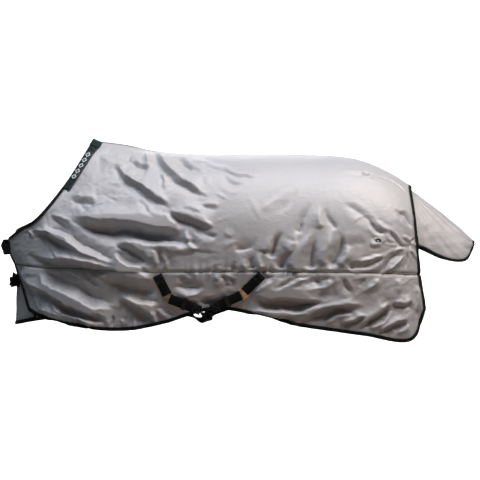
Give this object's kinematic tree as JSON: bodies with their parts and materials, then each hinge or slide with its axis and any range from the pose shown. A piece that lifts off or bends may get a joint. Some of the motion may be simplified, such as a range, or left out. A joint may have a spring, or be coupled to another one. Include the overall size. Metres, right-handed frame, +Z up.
{
  "type": "fly sheet",
  "caption": "Full-length horse sheet with overlapping fronts, clip chest straps, crossed belly surcingles, bound edges, hip darts and a tail flap.",
  "frame": {"origin": "on the horse's back under the middle of the spine seam", "axes": "+X from the chest towards the tail, -Y to the horse's left side, +Z up"},
  "size_m": [2.0722, 0.6267, 0.8845],
  "materials": {
    "rug_fabric": "coated, softly shining",
    "binding": "matt woven tape",
    "webbing": "matt woven webbing",
    "clip_metal": "polished, lightly worn",
    "slider_plastic": "moulded, matt",
    "blank_label": "woven label"
  },
  "bodies": {
    "rug": {"left_side_panel": "rug_fabric", "left_flank_panel": "rug_fabric", "left_flank_welt": "rug_fabric", "right_side_panel": "rug_fabric", "right_flank_panel": "rug_fabric", "right_flank_welt": "rug_fabric", "left_hem_binding": "binding", "left_neck_binding": "binding", "left_neck_patch": "binding", "left_hip_eyelet": "binding", "right_hem_binding": "binding", "right_neck_binding": "binding", "right_neck_patch": "binding", "right_hip_eyelet": "binding", "withers_patch": "binding", "spine_seam_tape": "binding", "front_surcingle_tab": "webbing", "rear_surcingle_tab": "webbing", "front_slot_plate": "clip_metal", "rear_slot_plate": "clip_metal", "left_neck_label": "blank_label"},
    "left_front": {"left_front_panel": "rug_fabric", "left_front_binding": "binding", "upper_chest_strap": "webbing", "upper_chest_hook": "clip_metal", "lower_chest_strap": "webbing", "lower_chest_hook": "clip_metal"},
    "right_front": {"right_front_panel": "rug_fabric", "right_front_binding": "binding", "upper_chest_tab": "webbing", "upper_chest_slot_plate": "clip_metal", "lower_chest_tab": "webbing", "lower_chest_slot_plate": "clip_metal"},
    "tail": {"tail_flap": "rug_fabric", "tail_flap_binding": "binding"},
    "front_strap": {"front_belly_strap": "webbing", "front_strap_end": "webbing", "front_surcingle_hook": "clip_metal"},
    "rear_strap": {"rear_belly_strap": "webbing", "rear_strap_end": "webbing", "rear_surcingle_hook": "clip_metal"},
    "front_strap_slider": {"front_slider": "slider_plastic"},
    "rear_strap_slider": {"rear_slider": "slider_plastic"}
  },
  "joints": [
    {"name": "left_front_open", "type": "hinge", "parent": "rug", "child": "left_front", "pos_m": [-0.8185, -0.1825, -0.395], "axis": [-0.1988, 0.1129, 0.9735], "range_deg": [0, 60]},
    {"name": "right_front_open", "type": "hinge", "parent": "rug", "child": "right_front", "pos_m": [-0.8185, 0.1825, -0.395], "axis": [-0.1988, -0.1129, 0.9735], "range_deg": [-24, 0]},
    {"name": "tail_flap_lift", "type": "hinge", "parent": "rug", "child": "tail", "pos_m": [0.804, 0, -0.151], "axis": [0, 1, 0], "range_deg": [-60, 12]},
    {"name": "front_strap_swing", "type": "hinge", "parent": "rug", "child": "front_strap", "pos_m": [0.18, 0.278, -0.625], "axis": [1, 0, 0], "range_deg": [0, 30]},
    {"name": "rear_strap_swing", "type": "hinge", "parent": "rug", "child": "rear_strap", "pos_m": [-0.27, 0.278, -0.625], "axis": [1, 0, 0], "range_deg": [0, 30]},
    {"name": "front_slider_slide", "type": "slide", "parent": "front_strap", "child": "front_strap_slider", "axis": [0.9352, -0.0282, -0.3529], "range_m": [-0.02, 0.03]},
    {"name": "rear_slider_slide", "type": "slide", "parent": "rear_strap", "child": "rear_strap_slider", "axis": [-0.9076, 0.0028, -0.4199], "range_m": [-0.02, 0.03]}
  ],
  "couplings": [
    {"joint": "right_front_open", "follows": "left_front_open", "ratio": -0.4},
    {"joint": "rear_strap_swing", "follows": "front_strap_swing", "ratio": 1}
  ]
}
